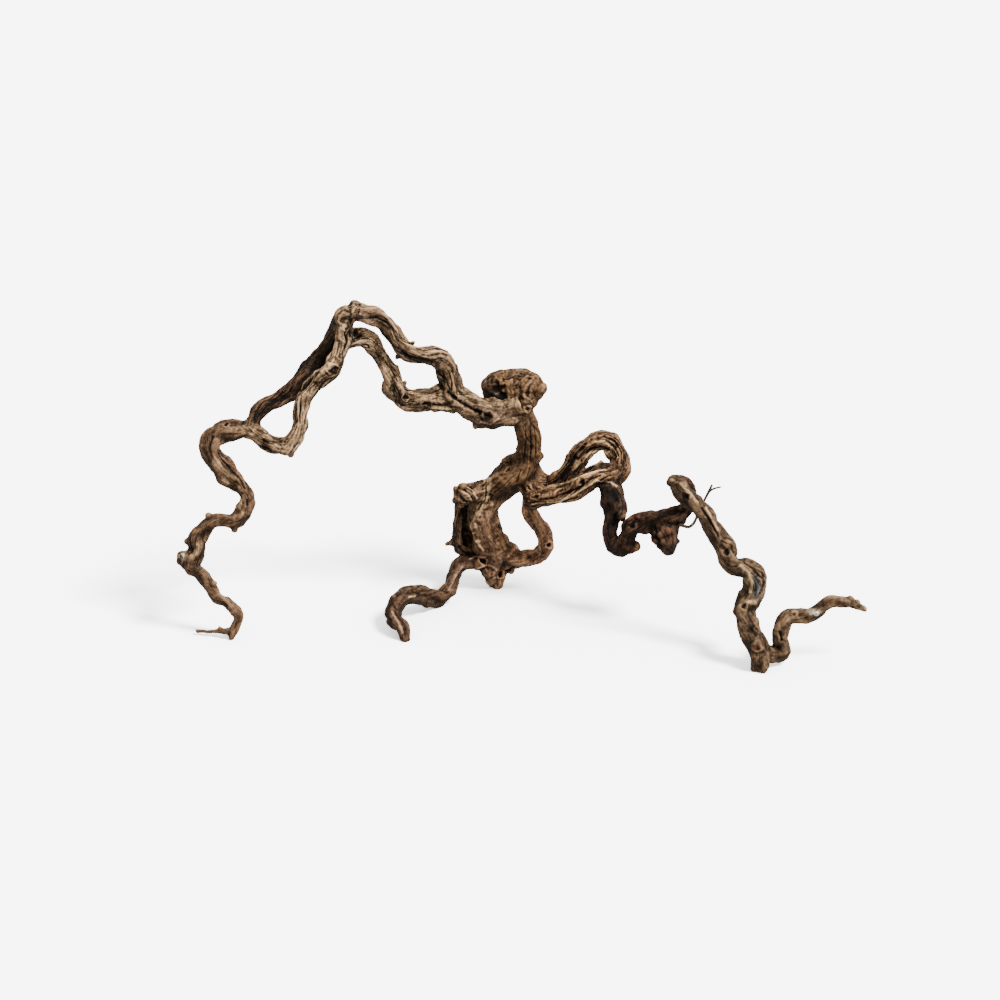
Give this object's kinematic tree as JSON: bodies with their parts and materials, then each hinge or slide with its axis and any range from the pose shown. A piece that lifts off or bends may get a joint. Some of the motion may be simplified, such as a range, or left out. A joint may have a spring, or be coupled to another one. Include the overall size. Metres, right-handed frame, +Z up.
{
  "type": "grapevine wood",
  "caption": "Weathered, twisted piece of grapevine wood with a burl on its trunk, a long stranded arm and a looping arm, standing free on its tips and knuckle.",
  "frame": {"origin": "middle of the footprint box, on the surface that the wood stands on", "axes": "+X along the longest extent, from the thin left leg to the upturned right tip; +Y to the back, where the trunk stands; +Z up"},
  "size_m": [0.6954, 0.2509, 0.3412],
  "materials": {
    "trunk_wood": "matte",
    "weathered_wood": "matte",
    "dark_wood": "matte",
    "red_brown_wood": "matte",
    "tendril_wood": "satin"
  },
  "bodies": {
    "root": {"trunk": "trunk_wood", "thick_arm": "weathered_wood", "arm_upper_strand": "weathered_wood", "arm_lower_strand": "weathered_wood", "arm_front_strand": "weathered_wood", "arm_back_strand": "dark_wood", "left_leg": "weathered_wood", "left_twig": "weathered_wood", "front_leg": "weathered_wood", "ring_limb": "trunk_wood", "loop_back_strand": "weathered_wood", "loop_front_strand": "weathered_wood", "hanging_limb": "red_brown_wood", "right_leg": "weathered_wood", "right_tip": "weathered_wood", "tendril": "tendril_wood"}
  },
  "joints": []
}
